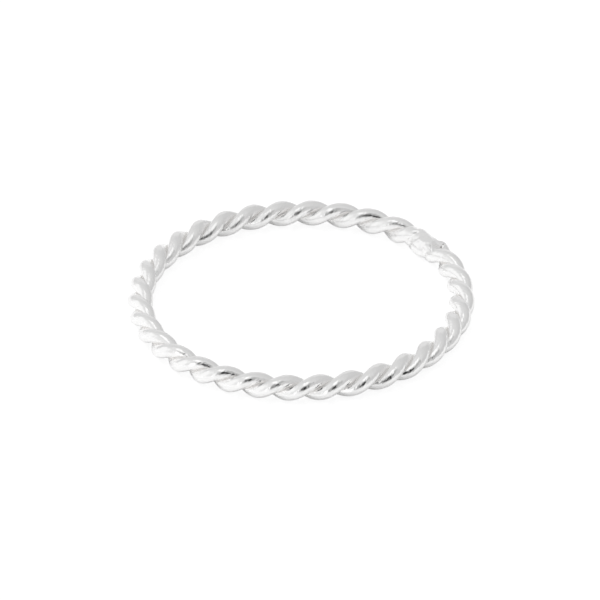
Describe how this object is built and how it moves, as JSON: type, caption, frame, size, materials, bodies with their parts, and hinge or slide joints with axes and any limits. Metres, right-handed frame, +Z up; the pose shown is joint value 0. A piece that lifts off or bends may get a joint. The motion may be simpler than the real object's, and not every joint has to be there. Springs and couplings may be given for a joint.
{
  "type": "rope twist ring",
  "caption": "Thin finger ring of round silver wires twisted into a rope, bent into a loop and closed with a solder seam.",
  "frame": {"origin": "on the surface that the ring lies on, under the centre of the finger hole", "axes": "+Z up along the finger hole's axis, +Y away from the side the picture was taken from, +X to its right; the solder seam is 40 degrees from +X towards +Y"},
  "size_m": [0.0202, 0.0202, 0.0015],
  "materials": {
    "silver": "polished sterling silver"
  },
  "bodies": {
    "root": {"twisted_band": "silver"}
  },
  "joints": []
}
